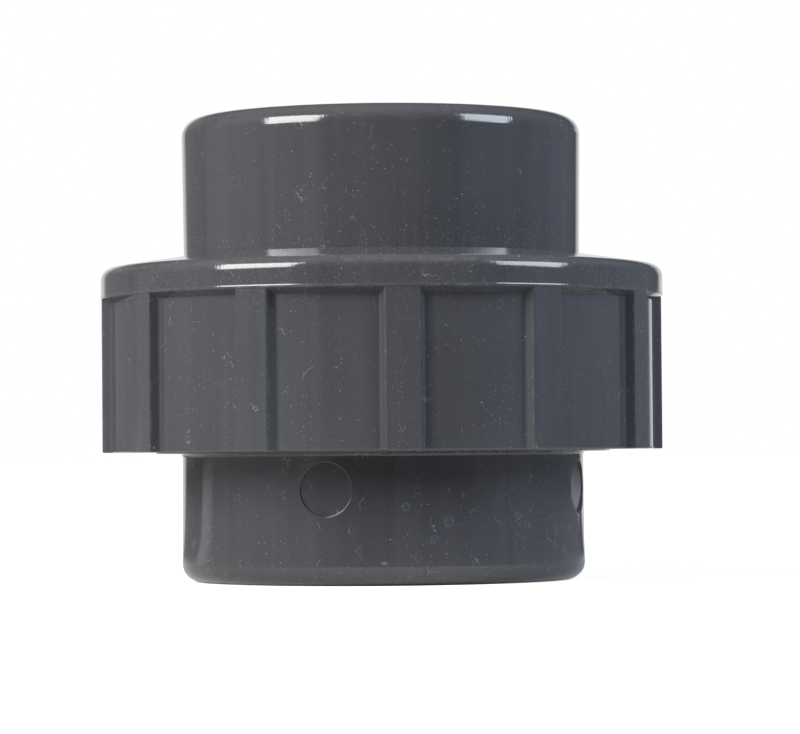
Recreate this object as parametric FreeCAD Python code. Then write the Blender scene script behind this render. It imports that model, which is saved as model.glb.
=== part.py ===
"""A solvent-cement pipe union for 63 mm PVC-U pressure pipe.

Four pieces: the threaded body with a socket at the bottom, the tail piece with a
socket at the top, the union nut that draws the tail piece down onto the body, and
the O-ring in the body's face groove. It is modelled hand-tight, standing on the
body's mouth: Z up, the origin at the centre of that mouth, every size in mm.
"""
import FreeCAD
import Part

import math
import os

from FreeCAD import Vector

# ---- driving dimensions -------------------------------------------------------

# Pipe and overall layout
PIPE_DIAMETER = 63.0
SOCKET_CLEARANCE = 0.2            # on the diameter, at the mouth of each socket
SOCKET_DEPTH = 37.5
OVERALL_HEIGHT = 86.9
WATERWAY_RADIUS = 28.5
MOUTH_CHAMFER = 1.4               # lead-in for the pipe
MOUTH_ROUNDING = 3.45             # outer corner of each mouth
EDGE_BREAK = 0.3
CUTTER_MARGIN = 5.0               # how far a cutter runs past what it cuts

# Barrels, each with the draft of its mould
BODY_MOUTH_RADIUS = 37.9
BODY_NECK_RADIUS = 37.7
BODY_SHOULDER_HEIGHT = 24.0       # where the barrel steps out to the thread
BODY_SHOULDER_FILLET = 0.65
TAIL_MOUTH_RADIUS = 37.55
TAIL_NECK_RADIUS = 37.15

# Mating faces
BODY_FACE_HEIGHT = 44.0
FACE_GAP = 0.4                    # left between the faces when hand-tight

# O-ring and the groove that holds it
RING_INNER_DIAMETER = 69.44
RING_CORD = 3.53
RING_FLAT = 0.03                  # how much of the cord is pressed flat at rest
GROOVE_DEPTH = 3.15
GROOVE_SIDE_GAP = 0.35
GROOVE_EDGE_BREAK = 0.2
GROOVE_CORNER_ROUNDING = 0.4

# Thread: one start, right hand
THREAD_LEAD = 4.0
THREAD_ROOT_RADIUS = 42.75
THREAD_CREST_RADIUS = 45.0
THREAD_FLANK_ANGLE = 15.0         # each flank, from square to the axis
THREAD_CLEARANCE = 0.3            # radial, and axial on each flank
BODY_THREAD_START = 27.0
BODY_THREAD_TURNS = 3.85
NUT_THREAD_START = 28.0
NUT_THREAD_TURNS = 4.4
THREAD_FOOT = 0.4                 # how far a thread is rooted in its wall
THREAD_TOP_ROUNDING = 0.6         # outer corner of the body above its thread

# Tail collar, trapped under the shoulder of the nut
COLLAR_RADIUS = 42.3
COLLAR_THICKNESS = 10.0
COLLAR_FILLET = 0.8
SHOULDER_GAP = 0.1

# Union nut
NUT_BOTTOM = 24.3
NUT_BAND_BOTTOM = 53.15           # lower edge of the plain band above the ribs
NUT_WALL_TOP = 56.55              # where the band starts to round over
NUT_PANEL_RADIUS = 51.0
NUT_BAND_RADIUS = 52.85
NUT_BAND_ROOT = 3.0               # how far the band reaches into the skirt
NUT_BAND_UNDERCUT = 0.55          # rise over width of the slope under the band
NUT_BEAD_HEIGHT = 0.05            # small lip along the band's lower edge
NUT_BEAD_WIDTH = 0.35
NUT_BEAD_SLOPE = 0.2              # height of the slope from the lip to the band
NUT_BEAD_ROUNDING = 0.1
NUT_CROWN_ROUNDING = 2.3
NUT_CROWN_SLOPE = 8.6             # degrees
NUT_HOLE_RADIUS = 37.85
NUT_COLLAR_ROOM = 43.1            # radius of the seat that guides the collar
NUT_SEAT_BOTTOM = 48.0
NUT_SEAT_SLOPE = 1.0              # height of the slope that leads to the seat
NUT_INNER_ROUNDING = 0.5
NUT_HOLE_CHAMFER = 1.0
NUT_LEAD_IN = 1.2
NUT_EDGE_RADIUS = 0.3
RIB_COUNT = 12
RIB_RADIUS = 52.75
RIB_FACE_WIDTH = 6.1
RIB_BASE_WIDTH = 7.5
RIB_CORNER = 0.35
RIB_ROOT_FILLET = 0.7
FIRST_RIB_ANGLE = 3.95            # degrees to the right of the front

# Mould marks
PIN_MARK_DIAMETER = 9.9           # where its rim is furthest from its floor
PIN_MARK_DEPTH = 0.55             # its flat floor, below the middle of the mark
PIN_MARK_LEAN = 0.2               # how much smaller its radius is at its floor
PIN_MARK_REACH = 4.0              # length of its cutter, in depths of the mark
PIN_MARK_HEIGHT = 17.4
PIN_MARK_ANGLES = (-16.0, 74.0, 164.0, 254.0)
PIN_MARK_ROUNDING = 0.14          # of its rim
SEAM_ANGLES = (3.8, 183.8)
SEAM_WIDTH = 0.16
SEAM_HEIGHT = 0.07
SEAM_ROOT = 0.5                   # how far a seam line is rooted in the barrel
SEAM_START = 1.5                  # above the collar

# ---- dimensions that follow ---------------------------------------------------

SOCKET_RADIUS = (PIPE_DIAMETER + SOCKET_CLEARANCE) / 2
TAIL_FACE_HEIGHT = BODY_FACE_HEIGHT + FACE_GAP
COLLAR_TOP = TAIL_FACE_HEIGHT + COLLAR_THICKNESS
TAIL_STOP_HEIGHT = OVERALL_HEIGHT - SOCKET_DEPTH
SHOULDER_HEIGHT = COLLAR_TOP + SHOULDER_GAP
NUT_THREAD_ROOT = THREAD_CREST_RADIUS + THREAD_CLEARANCE
NUT_THREAD_CREST = THREAD_ROOT_RADIUS + THREAD_CLEARANCE
GROOVE_FLOOR = BODY_FACE_HEIGHT - GROOVE_DEPTH
RING_CENTRE_RADIUS = (RING_INNER_DIAMETER + RING_CORD) / 2
GROOVE_INNER = RING_CENTRE_RADIUS - RING_CORD / 2 - GROOVE_SIDE_GAP
GROOVE_OUTER = RING_CENTRE_RADIUS + RING_CORD / 2 + GROOVE_SIDE_GAP
MARKED_RADIUS = (BODY_MOUTH_RADIUS + (BODY_NECK_RADIUS - BODY_MOUTH_RADIUS)
                 * PIN_MARK_HEIGHT / BODY_SHOULDER_HEIGHT)
SAME_PLACE = 1e-5                 # two points closer than this are one


# ---- helpers ------------------------------------------------------------------

def point(radius, height):
    """A point of a profile in the XZ plane."""
    return Vector(radius, 0, height)


def corner_arc(corner, before, after, rounding):
    """Tangent arc that rounds a corner; returns its first, middle and last point."""
    to_before = (before - corner).normalize()
    to_after = (after - corner).normalize()
    half_angle = to_before.getAngle(to_after) / 2
    setback = rounding / math.tan(half_angle)
    to_centre = (to_before + to_after).normalize()
    centre = corner + to_centre * (rounding / math.sin(half_angle))
    first = corner + to_before * setback
    last = corner + to_after * setback
    middle = centre - to_centre * rounding
    return first, middle, last


def closed_outline(corners):
    """Closed wire through (point, rounding) corners; a rounding of 0 stays sharp."""
    count = len(corners)
    pieces = []
    for index, (corner, rounding) in enumerate(corners):
        if rounding:
            before = corners[index - 1][0]
            after = corners[(index + 1) % count][0]
            pieces.append(corner_arc(corner, before, after, rounding))
        else:
            pieces.append((corner,))
    edges = []
    for index, piece in enumerate(pieces):
        if len(piece) == 3:
            edges.append(Part.Arc(*piece).toShape())
        following = pieces[(index + 1) % count][0]
        if piece[-1].distanceToPoint(following) > SAME_PLACE:
            edges.append(Part.LineSegment(piece[-1], following).toShape())
    return Part.Wire(edges)


def turned(corners):
    """Solid turned about Z from an outline in the XZ plane."""
    face = Part.Face(closed_outline(corners))
    return face.revolve(Vector(0, 0, 0), Vector(0, 0, 1), 360)


def at_angle(shape, degrees):
    """Turn a shape built at the front (-Y) to an angle to the right of the front."""
    return shape.copy().rotate(Vector(0, 0, 0), Vector(0, 0, 1), degrees)


def thread_ridge(root_radius, crest_radius, start_height, turns, start_angle):
    """One helical thread ridge, standing out from root_radius to crest_radius."""
    depth = abs(crest_radius - root_radius)
    outward = 1 if crest_radius > root_radius else -1
    pitch_width = THREAD_LEAD / 2 - THREAD_CLEARANCE
    half_depth = (THREAD_CREST_RADIUS - THREAD_ROOT_RADIUS) / 2
    lean = math.tan(math.radians(THREAD_FLANK_ANGLE))
    crest_half = pitch_width / 2 - half_depth * lean
    foot_half = crest_half + (depth + THREAD_FOOT) * lean
    foot_radius = root_radius - outward * THREAD_FOOT
    corners = [
        point(foot_radius, start_height - foot_half),
        point(crest_radius, start_height - crest_half),
        point(crest_radius, start_height + crest_half),
        point(foot_radius, start_height + foot_half),
    ]
    section = Part.makePolygon(corners + corners[:1])
    spine = Part.makeHelix(THREAD_LEAD, THREAD_LEAD * turns, root_radius)
    spine.translate(Vector(0, 0, start_height))
    ridge = Part.Wire(spine.Edges).makePipeShell([section], True, True)
    ridge.rotate(Vector(0, 0, 0), Vector(0, 0, 1), start_angle)
    return ridge


def one_solid(shape):
    """The single solid of a finished piece, with its faces tidied."""
    solid = shape.removeSplitter().Solids[0]
    assert len(shape.Solids) == 1 and solid.isValid()
    return solid


# ---- pieces -------------------------------------------------------------------

def pin_mark():
    """Cutter for one shallow round mark with a flat floor and a leaning wall."""
    floor_centre = Vector(0, PIN_MARK_DEPTH - MARKED_RADIUS, PIN_MARK_HEIGHT)
    floor_radius = PIN_MARK_DIAMETER / 2 - PIN_MARK_LEAN
    end_radius = floor_radius + PIN_MARK_REACH * PIN_MARK_LEAN
    reach = PIN_MARK_REACH * PIN_MARK_DEPTH
    return Part.makeCone(floor_radius, end_radius, reach, floor_centre, Vector(0, -1, 0))


def is_mark_rim(edge):
    """Whether an edge of the barrel goes round a pin mark, not round its floor."""
    lowest_radius = MARKED_RADIUS - PIN_MARK_DEPTH / 3
    reach = PIN_MARK_DIAMETER / 2 + PIN_MARK_LEAN
    return all(math.hypot(place.x, place.y) > lowest_radius
               and abs(place.z - PIN_MARK_HEIGHT) < reach
               for place in edge.discretize(Number=8))


def make_threaded_body():
    """Lower half: pipe socket, outside thread, and the face with the O-ring groove."""
    blank = turned([
        (point(SOCKET_RADIUS + MOUTH_CHAMFER / 2, 0), 0),
        (point(BODY_MOUTH_RADIUS, 0), MOUTH_ROUNDING),
        (point(BODY_NECK_RADIUS, BODY_SHOULDER_HEIGHT), BODY_SHOULDER_FILLET),
        (point(THREAD_ROOT_RADIUS, BODY_SHOULDER_HEIGHT), EDGE_BREAK),
        (point(THREAD_ROOT_RADIUS, BODY_FACE_HEIGHT), THREAD_TOP_ROUNDING),
        (point(GROOVE_OUTER, BODY_FACE_HEIGHT), GROOVE_EDGE_BREAK),
        (point(GROOVE_OUTER, GROOVE_FLOOR), GROOVE_CORNER_ROUNDING),
        (point(GROOVE_INNER, GROOVE_FLOOR), GROOVE_CORNER_ROUNDING),
        (point(GROOVE_INNER, BODY_FACE_HEIGHT), GROOVE_EDGE_BREAK),
        (point(WATERWAY_RADIUS, BODY_FACE_HEIGHT), EDGE_BREAK),
        (point(WATERWAY_RADIUS, SOCKET_DEPTH), EDGE_BREAK),
        (point(SOCKET_RADIUS, SOCKET_DEPTH), 0),
        (point(SOCKET_RADIUS, MOUTH_CHAMFER), 0),
    ])
    for angle in PIN_MARK_ANGLES:
        blank = blank.cut(at_angle(pin_mark(), angle))
    rims = [edge for edge in blank.Edges if is_mark_rim(edge)]
    blank = blank.makeFillet(PIN_MARK_ROUNDING, rims)
    ridge = thread_ridge(THREAD_ROOT_RADIUS, THREAD_CREST_RADIUS,
                         BODY_THREAD_START, BODY_THREAD_TURNS, 0)
    return one_solid(blank.fuse(ridge))


def make_o_ring():
    """Rubber ring, resting in the groove on the narrow flat that its load presses."""
    centre_height = GROOVE_FLOOR + RING_CORD / 2 - RING_FLAT
    ring = Part.makeTorus(RING_CENTRE_RADIUS, RING_CORD / 2, Vector(0, 0, centre_height))
    below = Part.makeCylinder(RING_CENTRE_RADIUS * 2, RING_CORD,
                              Vector(0, 0, GROOVE_FLOOR - RING_CORD))
    return one_solid(ring.cut(below))


def seam_lines():
    """The two hair lines that the mould's halves leave up the tail's barrel."""
    bottom = COLLAR_TOP + SEAM_START
    top = OVERALL_HEIGHT - MOUTH_ROUNDING
    lean = (TAIL_MOUTH_RADIUS - TAIL_NECK_RADIUS) / (OVERALL_HEIGHT - COLLAR_TOP)
    root_half_width = SEAM_WIDTH / 2 * (SEAM_HEIGHT + SEAM_ROOT) / SEAM_HEIGHT
    sections = []
    for height in (bottom, top):
        radius = TAIL_NECK_RADIUS + lean * (height - COLLAR_TOP)
        ridge = [
            Vector(-root_half_width, SEAM_ROOT - radius, height),
            Vector(0, -radius - SEAM_HEIGHT, height),
            Vector(root_half_width, SEAM_ROOT - radius, height),
        ]
        sections.append(Part.makePolygon(ridge + ridge[:1]))
    line = Part.makeLoft(sections, True, True)
    return [at_angle(line, angle) for angle in SEAM_ANGLES]


def make_tail_piece():
    """Upper half: pipe socket, and the collar that the nut presses down."""
    blank = turned([
        (point(WATERWAY_RADIUS, TAIL_FACE_HEIGHT), EDGE_BREAK),
        (point(COLLAR_RADIUS, TAIL_FACE_HEIGHT), EDGE_BREAK),
        (point(COLLAR_RADIUS, COLLAR_TOP), EDGE_BREAK),
        (point(TAIL_NECK_RADIUS, COLLAR_TOP), COLLAR_FILLET),
        (point(TAIL_MOUTH_RADIUS, OVERALL_HEIGHT), MOUTH_ROUNDING),
        (point(SOCKET_RADIUS + MOUTH_CHAMFER / 2, OVERALL_HEIGHT), 0),
        (point(SOCKET_RADIUS, OVERALL_HEIGHT - MOUTH_CHAMFER), 0),
        (point(SOCKET_RADIUS, TAIL_STOP_HEIGHT), 0),
        (point(WATERWAY_RADIUS, TAIL_STOP_HEIGHT), EDGE_BREAK),
    ])
    return one_solid(blank.fuse(seam_lines()))


def rib_outline():
    """Ribbed cross-section of the nut's skirt, as one closed wire at the bottom."""
    corners = []
    for index in range(RIB_COUNT):
        middle = math.radians(FIRST_RIB_ANGLE - 90 + index * 360 / RIB_COUNT)
        for side in (-1, 1):
            foot = Vector(math.sqrt(NUT_PANEL_RADIUS ** 2 - (RIB_BASE_WIDTH / 2) ** 2),
                          side * RIB_BASE_WIDTH / 2, 0)
            edge = Vector(math.sqrt(RIB_RADIUS ** 2 - (RIB_FACE_WIDTH / 2) ** 2),
                          side * RIB_FACE_WIDTH / 2, 0)
            pair = [foot, edge] if side < 0 else [edge, foot]
            for place in pair:
                turned_place = Vector(
                    place.x * math.cos(middle) - place.y * math.sin(middle),
                    place.x * math.sin(middle) + place.y * math.cos(middle),
                    NUT_BOTTOM)
                corners.append(turned_place)
    edges = []
    for index, start in enumerate(corners):
        end = corners[(index + 1) % len(corners)]
        radial_side = index % 2 == 0
        if radial_side:
            edges.append(Part.LineSegment(start, end).toShape())
        else:
            radius = RIB_RADIUS if index % 4 == 1 else NUT_PANEL_RADIUS
            across = Vector(start.x + end.x, start.y + end.y, 0).normalize()
            middle_point = across * radius + Vector(0, 0, NUT_BOTTOM)
            edges.append(Part.Arc(start, middle_point, end).toShape())
    return Part.Wire(edges)


def matching_edges(shape, wanted):
    """The shape's edges whose middles lie where the middles of the wanted edges do."""
    middles = [edge.CenterOfMass for edge in wanted]
    found = []
    for edge in shape.Edges:
        if any(edge.CenterOfMass.distanceToPoint(middle) < SAME_PLACE for middle in middles):
            found.append(edge)
    return found


def make_skirt():
    """The nut's ribbed outside, rounded along the ribs and round the lower edge."""
    height = NUT_BAND_BOTTOM + NUT_BEAD_WIDTH / 2 - NUT_BOTTOM
    prism = Part.Face(rib_outline()).extrude(Vector(0, 0, height))
    between = (RIB_RADIUS + NUT_PANEL_RADIUS) / 2
    rib_corners = []
    rib_roots = []
    for edge in prism.Edges:
        first = edge.Vertexes[0].Point
        last = edge.Vertexes[-1].Point
        if abs(first.z - last.z) < height / 2:
            continue
        on_face = math.hypot(first.x, first.y) > between
        (rib_corners if on_face else rib_roots).append(edge)
    rounded = prism.makeFillet(RIB_ROOT_FILLET, rib_roots)
    rounded = rounded.makeFillet(RIB_CORNER, matching_edges(rounded, rib_corners))
    lower_edges = []
    for edge in rounded.Edges:
        if edge.BoundBox.ZMax < NUT_BOTTOM + NUT_EDGE_RADIUS:
            lower_edges.append(edge)
    return rounded.makeFillet(NUT_EDGE_RADIUS, lower_edges)


def make_union_nut():
    """Ribbed nut: inside thread, seat for the collar, sloping crown."""
    slope = math.radians(NUT_CROWN_SLOPE)
    corner_height = NUT_WALL_TOP + NUT_CROWN_ROUNDING * (1 - math.sin(slope)) / math.cos(slope)
    crown_height = corner_height + math.tan(slope) * (NUT_BAND_RADIUS - NUT_HOLE_RADIUS)
    bead_radius = NUT_BAND_RADIUS + NUT_BEAD_HEIGHT
    root_radius = NUT_PANEL_RADIUS - NUT_BAND_ROOT
    undercut = NUT_BAND_UNDERCUT * (bead_radius - root_radius)
    band = turned([
        (point(root_radius, NUT_BAND_BOTTOM - undercut), 0),
        (point(bead_radius, NUT_BAND_BOTTOM), NUT_BEAD_ROUNDING),
        (point(bead_radius, NUT_BAND_BOTTOM + NUT_BEAD_WIDTH), NUT_BEAD_ROUNDING),
        (point(NUT_BAND_RADIUS, NUT_BAND_BOTTOM + NUT_BEAD_WIDTH + NUT_BEAD_SLOPE), 0),
        (point(NUT_BAND_RADIUS, corner_height), NUT_CROWN_ROUNDING),
        (point(NUT_HOLE_RADIUS, crown_height), NUT_INNER_ROUNDING),
        (point(NUT_HOLE_RADIUS, NUT_BAND_BOTTOM), 0),
        (point(root_radius, NUT_BAND_BOTTOM), 0),
    ])
    inside = turned([
        (point(0, NUT_BOTTOM - CUTTER_MARGIN), 0),
        (point(NUT_THREAD_ROOT + NUT_LEAD_IN, NUT_BOTTOM - CUTTER_MARGIN), 0),
        (point(NUT_THREAD_ROOT + NUT_LEAD_IN, NUT_BOTTOM), 0),
        (point(NUT_THREAD_ROOT, NUT_BOTTOM + NUT_LEAD_IN), 0),
        (point(NUT_THREAD_ROOT, NUT_SEAT_BOTTOM), NUT_INNER_ROUNDING),
        (point(NUT_COLLAR_ROOM, NUT_SEAT_BOTTOM + NUT_SEAT_SLOPE), NUT_INNER_ROUNDING),
        (point(NUT_COLLAR_ROOM, SHOULDER_HEIGHT), EDGE_BREAK),
        (point(NUT_HOLE_RADIUS + NUT_HOLE_CHAMFER, SHOULDER_HEIGHT), 0),
        (point(NUT_HOLE_RADIUS, SHOULDER_HEIGHT + NUT_HOLE_CHAMFER), 0),
        (point(NUT_HOLE_RADIUS, crown_height + CUTTER_MARGIN), 0),
        (point(0, crown_height + CUTTER_MARGIN), 0),
    ])
    outside = make_skirt().fuse(band)
    shell = outside.cut(inside)
    between_body_turns = BODY_THREAD_START + THREAD_LEAD / 2
    start_angle = 360 * (NUT_THREAD_START - between_body_turns) / THREAD_LEAD
    ridge = thread_ridge(NUT_THREAD_ROOT, NUT_THREAD_CREST,
                         NUT_THREAD_START, NUT_THREAD_TURNS, start_angle)
    return one_solid(shell.fuse(ridge))


PIECES = {
    "threaded_body": make_threaded_body,
    "o_ring": make_o_ring,
    "tail_piece": make_tail_piece,
    "union_nut": make_union_nut,
}

os.makedirs("parts", exist_ok=True)
for name, make in PIECES.items():
    piece = make()
    piece.exportStep("parts/" + name + ".step")
    box = piece.BoundBox
    print(name, "volume", round(piece.Volume, 1),
          "x", round(box.XMin, 2), round(box.XMax, 2),
          "z", round(box.ZMin, 2), round(box.ZMax, 2))
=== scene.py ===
import math

import bpy
from mathutils import Matrix, Vector


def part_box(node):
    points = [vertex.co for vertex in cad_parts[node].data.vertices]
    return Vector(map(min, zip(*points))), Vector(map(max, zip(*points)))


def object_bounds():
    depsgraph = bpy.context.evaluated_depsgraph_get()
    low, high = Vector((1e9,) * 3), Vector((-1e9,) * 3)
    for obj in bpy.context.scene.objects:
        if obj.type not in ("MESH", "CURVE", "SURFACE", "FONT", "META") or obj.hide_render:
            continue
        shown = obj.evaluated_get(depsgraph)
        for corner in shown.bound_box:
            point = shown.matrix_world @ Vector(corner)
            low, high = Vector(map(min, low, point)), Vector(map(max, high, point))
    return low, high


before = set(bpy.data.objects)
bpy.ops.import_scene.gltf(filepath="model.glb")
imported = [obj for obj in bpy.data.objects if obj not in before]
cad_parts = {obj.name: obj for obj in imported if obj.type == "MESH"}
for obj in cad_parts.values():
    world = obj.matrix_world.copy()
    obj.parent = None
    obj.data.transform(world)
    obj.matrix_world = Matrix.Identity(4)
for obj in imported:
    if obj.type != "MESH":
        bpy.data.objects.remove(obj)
cad_low, cad_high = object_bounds()

# ---- sizes and places, in metres and degrees -----------------------------------

NUT_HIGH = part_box("union_nut")[1]
CROWN_DEPTH = 0.0072                  # the nut's plain end, above its ribs
BARREL_RADIUS = 0.0378
RIB_CORNER_INSET = 0.0002             # from the nut's box, which the lip above the ribs touches
RIB_CORNER_RADIUS = NUT_HIGH.x - RIB_CORNER_INSET
RIB_CORNER_DEPTH = 0.0005             # how much of a rib's corner is rubbed
PAINTED_LIP_LINE_DEPTH = 0.00004                   # how much of the lip carries the painted highlight line

# Dried drops low on the body: degrees right of the front, height, radius
DRIED_DROPS = (
    (6, 0.0142, 0.0008),
    (14, 0.0083, 0.0008),
    (18, 0.0115, 0.0010),
    (40, 0.0123, 0.0007),
    (57, 0.0100, 0.0007),
    (56, 0.0070, 0.0006),
    (61, 0.0059, 0.0007),
)

CAMERA_DISTANCE = 0.7274
CAMERA_HEIGHT = 0.0236
CAMERA_YAW = 0.262
CAMERA_PITCH = 1.296
CAMERA_ROLL = 0.47
CAMERA_LENS_MM = 173.66
SENSOR_MM = 36.0
CLIP_END = 50

SOFTBOX_DISTANCE = 2.0
SOFTBOX_FALLOFF = (0.12, 0.20)        # share of each box's width and height that fades out
LIGHT_TARGET = Vector((0, 0, cad_high.z / 2))
FLOOR_RADIUS = 40.0
TABLE_EDGE = (0.09, 0.25)             # from white table to what lies past it
WHITE_TABLE = (0.86, 0.84, 0.79, 1.0)
GLOW = (0.6, 0.5)                     # the floor's own light at the fitting, and what is added
GLOW_RISE = (0.06, 0.5)               # where on the floor the added light starts and is full

# What the glossy fitting sees past the table. Each is centred on an azimuth, in degrees
# to the right of the front, and fades out between two angles to either side of it.
DIM_STUDIO = (0.060, 0.054, 0.054, 1.0)
LEFT_WALL = (-76, 54, 32, (0.43, 0.46, 0.46, 1.0))
LEFT_CORNER = (-150, 28, 22, (0.22, 0.235, 0.235, 1.0))
RIGHT_WALL = (98, 62, 20, (0.25, 0.28, 0.35, 1.0))
WHITE_BEHIND = (180, 27, 20, (0.95, 0.95, 0.97, 1.0))
# painted light: a strip of light glowing on the table behind left, seen by the fitting, not the
# camera
PAINTED_FLOOR_LIGHT_STRIP = (-119.5, 6.5, 5.0, (0.95, 0.95, 0.97, 1.0))
# painted light: a pale strip glowing far out on the floor, seen by the fitting, not the camera
PAINTED_FAR_LIGHT_STRIP = (147, 3.5, 1.5, (0.70, 0.73, 0.78, 1.0))
PAINTED_FAR_STRIP_START = (0.75, 0.95)        # how far out on the floor the painted far light strip begins
WALLS_FADE = (0.8, 4.5)               # how far out on it the walls start to fade, and are gone


# ---- node helpers --------------------------------------------------------------

class Graph:
    """Shorthand for building one node tree."""

    def __init__(self, tree):
        self.tree = tree

    def add(self, kind, **settings):
        """New node; settings name its properties."""
        made = self.tree.nodes.new(kind)
        for name, value in settings.items():
            setattr(made, name, value)
        return made

    def put(self, socket, value):
        """Link a socket, or set it to a plain value."""
        if isinstance(value, bpy.types.NodeSocket):
            self.tree.links.new(value, socket)
        else:
            socket.default_value = value

    def math(self, operation, *values):
        made = self.add("ShaderNodeMath", operation=operation)
        for index, value in enumerate(values):
            self.put(made.inputs[index], value)
        return made.outputs[0]

    def vector_math(self, operation, *values):
        made = self.add("ShaderNodeVectorMath", operation=operation)
        for index, value in enumerate(values):
            self.put(made.inputs[index], value)
        is_number = operation in ("LENGTH", "DISTANCE", "DOT_PRODUCT")
        return made.outputs["Value" if is_number else "Vector"]

    def scaled(self, vector, factors):
        """The vector times one number, or one for each axis."""
        return self.vector_math("MULTIPLY", vector, factors)

    def height(self, vector):
        """The vector's Z."""
        parts = self.add("ShaderNodeSeparateXYZ")
        self.put(parts.inputs[0], vector)
        return parts.outputs["Z"]

    def ramp(self, value, low, high):
        """Smooth step: 0 at low and 1 at high, which may be the lower number."""
        made = self.add("ShaderNodeMapRange", interpolation_type="SMOOTHSTEP")
        self.put(made.inputs["Value"], value)
        made.inputs["From Min"].default_value = low
        made.inputs["From Max"].default_value = high
        return made.outputs["Result"]

    def noise(self, vector, scale, detail=2.0):
        made = self.add("ShaderNodeTexNoise", noise_dimensions="3D")
        self.put(made.inputs["Vector"], vector)
        made.inputs["Scale"].default_value = scale
        made.inputs["Detail"].default_value = detail
        return made.outputs["Fac"]

    def mix(self, amount, first, second):
        """Colour mix."""
        made = self.add("ShaderNodeMix", data_type="RGBA")
        self.put(made.inputs[0], amount)
        self.put(made.inputs[6], first)
        self.put(made.inputs[7], second)
        return made.outputs[2]


def new_material(name):
    """Empty material with its Graph, its shader and its object coordinates."""
    material = bpy.data.materials.new(name)
    material.use_nodes = True
    graph = Graph(material.node_tree)
    material.node_tree.nodes.clear()
    shader = graph.add("ShaderNodeBsdfPrincipled")
    output = graph.add("ShaderNodeOutputMaterial")
    material.node_tree.links.new(shader.outputs[0], output.inputs[0])
    place = graph.add("ShaderNodeTexCoord").outputs["Object"]
    return material, graph, shader, place


def grey(level, warmth=0.0):
    """Linear grey with a little warmth (positive) or blue (negative)."""
    return (level * (1 + warmth), level, level * (1 - warmth), 1.0)


# ---- materials -----------------------------------------------------------------

MICROMETRE = 1e-6
FACET_ERROR = (0.12, 0.20)            # sideways tilt: up to the first it is an error, past
                                      # the second it is real
PVC_IOR = 1.53
PVC_TINT = (0.955, 0.985, 1.11)       # the plastic's slight blue, by channel
DUST_COLOUR = grey(0.42, 0.05)
WATER_COLOUR = (0.22, 0.27, 0.36, 1.0)
DROP_RING = 1.15                      # a dried drop's ring, in radii of the drop

# Noise scales, in waves per metre, or by axis where the pattern is drawn out
CLOUDS = 35.0
FLOW_BANDS = (330.0, 330.0, 9.0)
GRAIN = 2200.0
DUST_FILM = 160.0
DUST_DRIFTS = 90.0
SHEEN_PATCHES = 110.0
WEAR_AND_LIP_LINE_PATCHES = 420.0
DROP_EDGES = 1500.0
ORANGE_PEEL = 260.0
TURNING_LINES = (30.0, 30.0, 2400.0)
FLUTES = (2400.0, 2400.0, 25.0)
RUBBER_BLOOM = 120.0
RUBBER_GRAIN = 2500.0

# Depths of relief, in micrometres
PEEL_DEPTH = 2.2
TURNING_DEPTH = 0.35
ROUNDING_FLUTES_DEPTH = 14.0          # where the surface rounds over
FLUTES_DEPTH = 0.6
GRAIN_DEPTH = 0.06
MARKS_DEPTH = 0.4

# How strongly each thing on the surface colours it
FILM_COVER = (0.05, 0.06)             # the least, and what its thickest patches add
DUST_COVER = 0.7
LINT_STRENGTH = 0.42
WATER_COVER = 0.16
# rubbed rib corners, and the painted highlight line along the lip
WEAR_AND_LIP_HIGHLIGHT_COVER = 0.25

# Roughness
SHEEN = (0.055, 0.07)                 # the clean plastic's least, and what its patches add
MARKS_ROUGHNESS = 0.14
GRIT_ROUGHNESS = 0.6

# Dust: cells per metre, the share of them with a speck, the largest radius in cells
SPECKS = (
    (430.0, 0.07, 0.10),
    (800.0, 0.18, 0.13),
    (1500.0, 0.40, 0.18),
    (2800.0, 0.45, 0.26),
)
GRIT = (1800.0, 0.6, 0.26)
GRIT_DRAWN_OUT = 0.6                  # a grain's width for its length, on the crown

# Lint: cells per metre and the share with a fibre, then the radius of the arc that it
# follows, its length and its width in metres
LINT = (
    (230.0, 0.20, 0.0022, 0.0036, 0.00009),
    (340.0, 0.16, 0.0010, 0.0022, 0.00008),
)
WOBBLES = 2.2                         # a fibre's wobbles in each cell
WOBBLE_REACH = 0.9                    # how far they push it, in cells

# Dusty zones: where each starts, is full, is full to and ends, above the top of the nut
DUSTY_ZONE = (-0.0100, -0.0070, 0.0020, 0.0060)
DUSTIEST_ZONE = (-0.0030, -0.0012, 0.0010, 0.0024)    # where the tail comes out of the nut


def pvc_grey(level):
    """The plastic's own blue-grey at one lightness."""
    return tuple(level * part for part in PVC_TINT) + (1.0,)


def random_cells(graph, place, scale):
    """Voronoi cells: their node, and three random numbers for each cell."""
    cells = graph.add("ShaderNodeTexVoronoi", feature="F1", voronoi_dimensions="3D")
    graph.put(cells.inputs["Vector"], place)
    cells.inputs["Scale"].default_value = scale
    parts = graph.add("ShaderNodeSeparateColor")
    graph.put(parts.inputs[0], cells.outputs["Color"])
    return cells, parts.outputs


def specks(graph, place, scale, share, radius):
    """Round specks of many sizes, most of them faint; share is a node or a number."""
    cells, chance = random_cells(graph, place, scale)
    chosen = graph.math("GREATER_THAN", graph.math("ADD", chance[0], share), 1.0)
    size = graph.math("MULTIPLY_ADD", chance[1], radius * 0.75, radius * 0.25)
    inside = graph.ramp(graph.math("DIVIDE", cells.outputs["Distance"], size), 1.1, 0.7)
    faint = graph.math("MULTIPLY_ADD", graph.math("POWER", chance[2], 2.5), 0.75, 0.25)
    return graph.math("MULTIPLY", graph.math("MULTIPLY", chosen, inside), faint)


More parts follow.
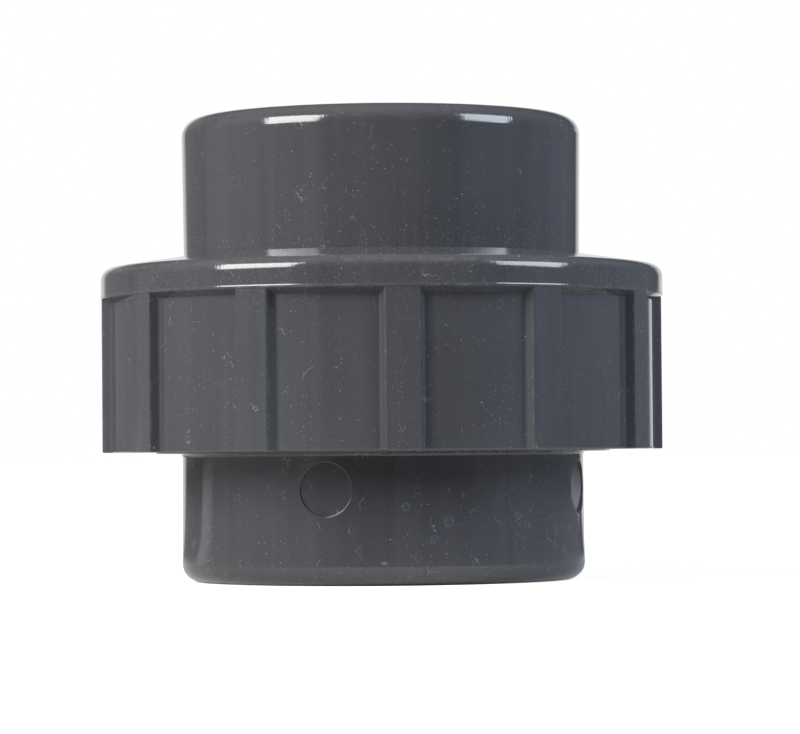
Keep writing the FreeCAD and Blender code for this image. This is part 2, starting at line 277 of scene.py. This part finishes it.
def fibres(graph, place, scale, share, bend, length, width):
    """Thin curled lint: in a share of the cells, a piece of a wobbly arc."""
    wobble = graph.add("ShaderNodeTexNoise", noise_dimensions="3D")
    graph.put(wobble.inputs["Vector"], place)
    wobble.inputs["Scale"].default_value = scale * WOBBLES
    wobble.inputs["Detail"].default_value = 1.0
    offset = graph.vector_math("SUBTRACT", wobble.outputs["Color"], (0.5, 0.5, 0.5))
    push = graph.scaled(offset, (WOBBLE_REACH / scale,) * 3)
    wandering = graph.vector_math("ADD", place, push)

    cells, chance = random_cells(graph, place, scale)
    chosen = graph.math("GREATER_THAN", chance[0], 1 - share)
    aim = graph.vector_math("SUBTRACT", cells.outputs["Color"], (0.5, 0.5, 0.5))
    to_centre = graph.scaled(graph.vector_math("NORMALIZE", aim), (bend,) * 3)
    centre = graph.vector_math("ADD", cells.outputs["Position"], to_centre)
    off_arc = graph.math("ABSOLUTE", graph.math(
        "SUBTRACT", graph.vector_math("DISTANCE", wandering, centre), bend))
    line = graph.ramp(off_arc, width, width * 0.3)
    within = graph.ramp(cells.outputs["Distance"], length * scale / 2, length * scale / 2 - 0.1)
    faint = graph.math("MULTIPLY_ADD", chance[1], 0.6, 0.3)
    return graph.math("MULTIPLY", graph.math("MULTIPLY", chosen, line),
                      graph.math("MULTIPLY", within, faint))


def zone(graph, place, heights):
    """1 between the middle two of four heights, 0 outside the outer two."""
    low, low_full, high_full, high = (NUT_HIGH.z + height for height in heights)
    level = graph.height(place)
    return graph.math("MULTIPLY", graph.ramp(level, low, low_full),
                      graph.ramp(level, high, high_full))


def dried_drops(graph, place):
    """A thin pale ring with a fainter middle at each of DRIED_DROPS."""
    wobble = graph.noise(place, DROP_EDGES)
    total = 0.0
    for degrees, height, radius in DRIED_DROPS:
        angle = math.radians(degrees)
        centre = (BARREL_RADIUS * math.sin(angle), -BARREL_RADIUS * math.cos(angle), height)
        reach = graph.math("DIVIDE", graph.vector_math("DISTANCE", place, centre), radius)
        reach = graph.math("MULTIPLY_ADD", wobble, 0.5, reach)      # in radii of the drop
        off_ring = graph.math("ABSOLUTE", graph.math("SUBTRACT", reach, DROP_RING))
        ring = graph.ramp(off_ring, 0.22, 0.05)
        middle = graph.math("MULTIPLY", graph.ramp(reach, DROP_RING, 1.0), 0.35)
        total = graph.math("MAXIMUM", total, graph.math("MAXIMUM", ring, middle))
    return graph.math("MULTIPLY", total, graph.ramp(wobble, 0.25, 0.6))


def rubbed_corners_and_lip_highlight(graph, place):
    """Where the nut's rib corners are rubbed, and a painted highlight line along the lip above
    them, by radius.
    """
    radius = graph.vector_math("LENGTH", graph.scaled(place, (1, 1, 0)))
    start, full, full_to = (RIB_CORNER_RADIUS - RIB_CORNER_DEPTH * share
                            for share in (1, 0.5, 0.25))
    corner = graph.math("MULTIPLY", graph.ramp(radius, start, full),
                        graph.ramp(radius, RIB_CORNER_RADIUS, full_to))
    # painted highlight: a thin light line along the nut's outermost lip
    lip = graph.ramp(radius, NUT_HIGH.x - PAINTED_LIP_LINE_DEPTH, NUT_HIGH.x - PAINTED_LIP_LINE_DEPTH / 4)
    patches = graph.ramp(graph.noise(place, WEAR_AND_LIP_LINE_PATCHES, detail=3.0), 0.40, 0.7)
    return graph.math("MULTIPLY", graph.math("MAXIMUM", corner, lip), patches)


def crown_grains(graph, place):
    """Grit lying on the crown, drawn out towards the axis so that it shows from the side."""
    flat = graph.scaled(place, (1, 1, 0))
    around = graph.scaled(graph.vector_math("NORMALIZE", flat), (BARREL_RADIUS,) * 3)
    inward = graph.add("ShaderNodeCombineXYZ")
    radius = graph.vector_math("LENGTH", flat)
    graph.put(inward.inputs["Z"], graph.math("MULTIPLY", radius, GRIT_DRAWN_OUT))
    grit_place = graph.vector_math("ADD", around, inward.outputs[0])
    scale, share, size = GRIT
    share = graph.math("MULTIPLY", zone(graph, place, DUSTIEST_ZONE), share)
    return specks(graph, grit_place, scale, share, size)


def crown_normal(graph, place):
    """The shading normal, with the facets' small sideways errors taken out on the crown."""
    normal = graph.add("ShaderNodeTexCoord").outputs["Normal"]
    outward = graph.vector_math("NORMALIZE", graph.scaled(place, (1, 1, 0)))
    facing_out = graph.vector_math("DOT_PRODUCT", normal, outward)
    level = graph.scaled(normal, (1, 1, 0))
    sideways = graph.vector_math("SUBTRACT", level, graph.scaled(outward, facing_out))
    small = graph.ramp(graph.vector_math("LENGTH", sideways), *reversed(FACET_ERROR))
    on_crown = graph.math("GREATER_THAN", graph.height(place), NUT_HIGH.z - CROWN_DEPTH)
    error = graph.scaled(sideways, graph.math("MULTIPLY", small, on_crown))
    to_world = graph.add("ShaderNodeVectorTransform", vector_type="NORMAL",
                         convert_from="OBJECT", convert_to="WORLD")
    graph.put(to_world.inputs[0], graph.vector_math("SUBTRACT", normal, error))
    return to_world.outputs[0]


def pigment(graph, own, grain, level):
    """The plastic's colour: slow clouds, faint upright bands and a fine grain."""
    cloud = graph.noise(own, CLOUDS, detail=3.0)
    bands = graph.noise(graph.scaled(own, FLOW_BANDS), 1.0)
    tone = graph.math("MULTIPLY_ADD", cloud, 0.5, graph.math("MULTIPLY", bands, 0.5))
    colour = graph.mix(graph.ramp(tone, 0.3, 0.7), pvc_grey(level * 0.88), pvc_grey(level * 1.12))
    return graph.mix(graph.math("MULTIPLY", grain, 0.2), colour, pvc_grey(level * 1.4))


def dust_film(graph, own, facing_up):
    """Thin film of dust on what faces up."""
    least, added = FILM_COVER
    cover = graph.math("MULTIPLY_ADD", graph.noise(own, DUST_FILM, detail=3.0), added, least)
    return graph.math("MULTIPLY", graph.ramp(facing_up, 0.05, 0.75), cover)


def loose_dust(graph, place, own):
    """Lint, and specks in drifts that are thickest where the tail comes out of the nut."""
    drifts = graph.ramp(graph.noise(own, DUST_DRIFTS), 0.36, 0.68)
    drifts = graph.math("MULTIPLY_ADD", drifts, 0.6, 0.15)
    drifts = graph.math("MULTIPLY_ADD", zone(graph, place, DUSTY_ZONE), 1.2, drifts)
    drifts = graph.math("MULTIPLY_ADD", zone(graph, place, DUSTIEST_ZONE), 2.5, drifts)
    dust = 0.0
    for scale, share, radius in SPECKS:
        some = specks(graph, own, scale, graph.math("MULTIPLY", drifts, share), radius)
        dust = graph.math("MAXIMUM", dust, some)
    for kind in LINT:
        lint = graph.math("MULTIPLY", fibres(graph, own, *kind), LINT_STRENGTH)
        dust = graph.math("MAXIMUM", dust, lint)
    return dust


def surface_relief(graph, own, facing_up, grain, marks):
    """Height of the moulded surface and of what lies on it, in micrometres."""
    tilt = graph.math("ABSOLUTE", facing_up)
    rounding = graph.math("MULTIPLY", graph.ramp(tilt, 0.05, 0.25), graph.ramp(tilt, 0.9, 0.7))
    flutes = graph.noise(graph.scaled(own, FLUTES), 1.0, detail=0.0)
    layers = (
        (graph.noise(own, ORANGE_PEEL, detail=1.0), PEEL_DEPTH),
        (graph.noise(graph.scaled(own, TURNING_LINES), 1.0, detail=1.0), TURNING_DEPTH),
        (graph.math("MULTIPLY", flutes, rounding), ROUNDING_FLUTES_DEPTH),
        (flutes, FLUTES_DEPTH),
        (grain, GRAIN_DEPTH),
        (marks, MARKS_DEPTH),
    )
    relief = 0.0
    for layer, depth in layers:
        relief = graph.math("MULTIPLY_ADD", layer, depth, relief)
    return relief


def add_bump(graph, shader, height, distance, strength=1.0):
    """Bump the shader's normal; returns the bump node."""
    bump = graph.add("ShaderNodeBump")
    bump.inputs["Distance"].default_value = distance
    bump.inputs["Strength"].default_value = strength
    graph.put(bump.inputs["Height"], height)
    graph.put(shader.inputs["Normal"], bump.outputs[0])
    return bump


def moulded_plastic(name, level, seed, wet=False, nut=False):
    """Dark grey injection-moulded PVC-U, a little dusty from handling.

    level is its lightness and seed shifts its patterns. The wet one has dried drops, and
    the nut has rubbed rib corners, a painted highlight line along its lip and grit on its crown.
    """
    material, graph, shader, place = new_material(name)
    own = graph.vector_math("ADD", place, (seed, seed * 0.7, seed * 1.3))
    facing_up = graph.height(graph.add("ShaderNodeNewGeometry").outputs["Normal"])
    grain = graph.noise(own, GRAIN)

    colour = pigment(graph, own, grain, level)
    colour = graph.mix(dust_film(graph, own, facing_up), colour, DUST_COLOUR)
    marks = loose_dust(graph, place, own)
    if nut:
        grains = crown_grains(graph, place)
        marks = graph.math("MAXIMUM", marks, grains)
    colour = graph.mix(graph.math("MULTIPLY", marks, DUST_COVER), colour, DUST_COLOUR)
    if wet:
        spots = dried_drops(graph, place)
        colour = graph.mix(graph.math("MULTIPLY", spots, WATER_COVER), colour, WATER_COLOUR)
        marks = graph.math("MAXIMUM", marks, graph.math("MULTIPLY", spots, 0.3))
    if nut:
        # rubbed rib corners made lighter, and a painted highlight line along the lip
        wear_and_lip_highlight = rubbed_corners_and_lip_highlight(graph, place)
        colour = graph.mix(graph.math("MULTIPLY", wear_and_lip_highlight, WEAR_AND_LIP_HIGHLIGHT_COVER), colour, pvc_grey(level * 3.0))
        marks = graph.math("MAXIMUM", marks, graph.math("MULTIPLY", wear_and_lip_highlight, 0.4))
    graph.put(shader.inputs["Base Color"], colour)

    least, added = SHEEN
    patches = graph.noise(own, SHEEN_PATCHES, detail=4.0)
    roughness = graph.math("MULTIPLY_ADD", patches, added, least)
    roughness = graph.math("MULTIPLY_ADD", marks, MARKS_ROUGHNESS, roughness)
    if nut:
        roughness = graph.math("MULTIPLY_ADD", grains, GRIT_ROUGHNESS, roughness)
    graph.put(shader.inputs["Roughness"], roughness)

    relief = surface_relief(graph, own, facing_up, grain, marks)
    bump = add_bump(graph, shader, relief, MICROMETRE)
    if nut:
        graph.put(bump.inputs["Normal"], crown_normal(graph, place))
    shader.inputs["IOR"].default_value = PVC_IOR
    return material


def seal_rubber():
    """Black EPDM with a faint grey bloom."""
    material, graph, shader, place = new_material("epdm_rubber")
    bloom = graph.ramp(graph.noise(place, RUBBER_BLOOM, detail=4.0), 0.4, 0.8)
    graph.put(shader.inputs["Base Color"], graph.mix(bloom, grey(0.012), grey(0.03)))
    graph.put(shader.inputs["Roughness"], graph.math("MULTIPLY_ADD", bloom, 0.2, 0.42))
    add_bump(graph, shader, graph.noise(place, RUBBER_GRAIN), 20 * MICROMETRE, strength=0.4)
    return material


def paint(node, material):
    """Give a CAD node one material."""
    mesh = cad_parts[node].data
    mesh.materials.clear()
    mesh.materials.append(material)


# ---- camera, floor and light -----------------------------------------------------

def make_camera():
    data = bpy.data.cameras.new("camera")
    data.lens = CAMERA_LENS_MM
    data.sensor_width = SENSOR_MM
    data.clip_end = CLIP_END
    camera = bpy.data.objects.new("camera", data)
    bpy.context.scene.collection.objects.link(camera)
    yaw = Matrix.Rotation(math.radians(-CAMERA_YAW), 4, "Z")
    pitch = Matrix.Rotation(math.radians(90 + CAMERA_PITCH), 4, "X")
    roll = Matrix.Rotation(math.radians(-CAMERA_ROLL), 4, "Z")
    place = Matrix.Translation((0, -CAMERA_DISTANCE, CAMERA_HEIGHT))
    camera.matrix_world = place @ yaw @ pitch @ roll
    bpy.context.scene.camera = camera


def add_view(graph, colour, direction, view, strength=1.0):
    """Lay one of the views past the table over a colour."""
    azimuth, outer, inner, view_colour = view
    angle = math.radians(azimuth)
    along = graph.vector_math("DOT_PRODUCT", direction, (math.sin(angle), -math.cos(angle), 0))
    seen = graph.ramp(along, math.cos(math.radians(outer)), math.cos(math.radians(inner)))
    return graph.mix(graph.math("MULTIPLY", seen, strength), colour, view_colour)


def surroundings(graph, direction, walls):
    """Colour that the fitting sees past the table in one direction."""
    colour = add_view(graph, DIM_STUDIO, direction, LEFT_CORNER, walls)
    colour = add_view(graph, colour, direction, LEFT_WALL, walls)
    colour = add_view(graph, colour, direction, RIGHT_WALL, walls)
    return add_view(graph, colour, direction, WHITE_BEHIND)


def make_floor():
    """Pale floor. The fitting sees a white table; past its edge the floor glows with the dim
    studio, its walls and two painted strips of light.
    """
    bpy.ops.mesh.primitive_circle_add(vertices=96, radius=FLOOR_RADIUS, fill_type="NGON",
                                      location=(0, 0, cad_low.z))
    floor = bpy.context.object
    floor.name = "floor"
    material = bpy.data.materials.new("pale_floor")
    material.use_nodes = True
    graph = Graph(material.node_tree)
    material.node_tree.nodes.clear()
    place = graph.add("ShaderNodeTexCoord").outputs["Object"]
    distance = graph.vector_math("LENGTH", place)
    outward = graph.vector_math("NORMALIZE", place)
    glow_colour_past_table = surroundings(graph, outward, graph.ramp(distance, *reversed(WALLS_FADE)))
    # painted light: strips of light glowing on the floor, for the fitting only
    glow_colour_past_table = add_view(graph, glow_colour_past_table, outward, PAINTED_FLOOR_LIGHT_STRIP)
    glow_colour_past_table = add_view(graph, glow_colour_past_table, outward, PAINTED_FAR_LIGHT_STRIP, graph.ramp(distance, *PAINTED_FAR_STRIP_START))
    # past the table the floor glows with the studio, its walls and the painted light strips
    painted_glow_past_table = graph.add("ShaderNodeEmission")
    graph.put(painted_glow_past_table.inputs["Color"], glow_colour_past_table)
    table = graph.add("ShaderNodeBsdfDiffuse")
    table.inputs["Color"].default_value = WHITE_TABLE
    reflected = graph.add("ShaderNodeMixShader")
    graph.put(reflected.inputs[0], graph.ramp(distance, *TABLE_EDGE))
    graph.put(reflected.inputs[1], table.outputs[0])
    graph.put(reflected.inputs[2], painted_glow_past_table.outputs[0])

    shown = graph.add("ShaderNodeBsdfDiffuse")
    shown.inputs["Color"].default_value = WHITE_TABLE
    glow = graph.add("ShaderNodeEmission")
    least, added = GLOW
    graph.put(glow.inputs["Strength"],
              graph.math("MULTIPLY_ADD", graph.ramp(distance, *GLOW_RISE), added, least))
    lit = graph.add("ShaderNodeAddShader")
    graph.put(lit.inputs[0], shown.outputs[0])
    graph.put(lit.inputs[1], glow.outputs[0])
    choose = graph.add("ShaderNodeMixShader")
    graph.put(choose.inputs[0], graph.add("ShaderNodeLightPath").outputs["Is Camera Ray"])
    graph.put(choose.inputs[1], reflected.outputs[0])
    graph.put(choose.inputs[2], lit.outputs[0])
    graph.put(graph.add("ShaderNodeOutputMaterial").inputs[0], choose.outputs[0])
    floor.data.materials.append(material)


def soft_edges(light):
    """Let a softbox's brightness fall off towards its edges."""
    light.use_nodes = True
    graph = Graph(light.node_tree)
    graph.tree.nodes.clear()
    parts = graph.add("ShaderNodeSeparateXYZ")
    graph.put(parts.inputs[0], graph.add("ShaderNodeNewGeometry").outputs["Parametric"])
    strength = 1.0
    for across, falloff in zip(parts.outputs, SOFTBOX_FALLOFF):
        off_centre = graph.math("ABSOLUTE", graph.math("SUBTRACT", across, 0.5))
        strength = graph.math("MULTIPLY", strength, graph.ramp(off_centre, 0.5, 0.5 - falloff))
    glow = graph.add("ShaderNodeEmission")
    graph.put(glow.inputs["Strength"], strength)
    graph.put(graph.add("ShaderNodeOutputLight").inputs[0], glow.outputs[0])


def softbox(name, azimuth, elevation, roll, size, power, colour):
    """Area light aimed at the fitting; azimuth is in degrees to the right of the front."""
    data = bpy.data.lights.new(name, "AREA")
    data.shape = "RECTANGLE"
    data.size, data.size_y = size
    data.energy = power
    data.color = colour
    light = bpy.data.objects.new(name, data)
    bpy.context.scene.collection.objects.link(light)
    across = math.cos(math.radians(elevation))
    towards = Vector((math.sin(math.radians(azimuth)) * across,
                      -math.cos(math.radians(azimuth)) * across,
                      math.sin(math.radians(elevation))))
    light.location = LIGHT_TARGET + towards * SOFTBOX_DISTANCE
    turn = Matrix.Rotation(math.radians(roll), 3, "Z")
    light.rotation_euler = ((-towards).to_track_quat("-Z", "Y").to_matrix() @ turn).to_euler()
    light.visible_camera = False
    soft_edges(data)


def make_lights():
    softbox("left_softbox", azimuth=-54.5, elevation=27, roll=8,
            size=(1.30, 1.32), power=88, colour=(1.0, 0.99, 0.97))
    softbox("right_softbox", azimuth=67, elevation=27, roll=-19,
            size=(1.16, 1.34), power=52, colour=(0.84, 0.93, 1.05))


def make_world():
    """White to the camera; the fitting sees the dim studio and its walls."""
    world = bpy.data.worlds.new("studio")
    world.use_nodes = True
    graph = Graph(world.node_tree)
    world.node_tree.nodes.clear()
    seen = graph.add("ShaderNodeBackground")
    seen.inputs["Color"].default_value = grey(1.0)
    room = graph.add("ShaderNodeBackground")
    direction = graph.add("ShaderNodeTexCoord").outputs["Generated"]
    graph.put(room.inputs["Color"], surroundings(graph, direction, 1.0))
    choose = graph.add("ShaderNodeMixShader")
    graph.put(choose.inputs[0], graph.add("ShaderNodeLightPath").outputs["Is Camera Ray"])
    graph.put(choose.inputs[1], room.outputs[0])
    graph.put(choose.inputs[2], seen.outputs[0])
    graph.put(graph.add("ShaderNodeOutputWorld").inputs[0], choose.outputs[0])
    bpy.context.scene.world = world


# ---- the scene -------------------------------------------------------------------

make_camera()
make_floor()
make_lights()
make_world()
bpy.context.scene.view_settings.view_transform = "Standard"

paint("threaded_body", moulded_plastic("body_pvc", level=0.0475, seed=0.0, wet=True))
paint("tail_piece", moulded_plastic("tail_pvc", level=0.0555, seed=0.31))
paint("union_nut", moulded_plastic("nut_pvc", level=0.056, seed=0.77, nut=True))
paint("o_ring", seal_rubber())
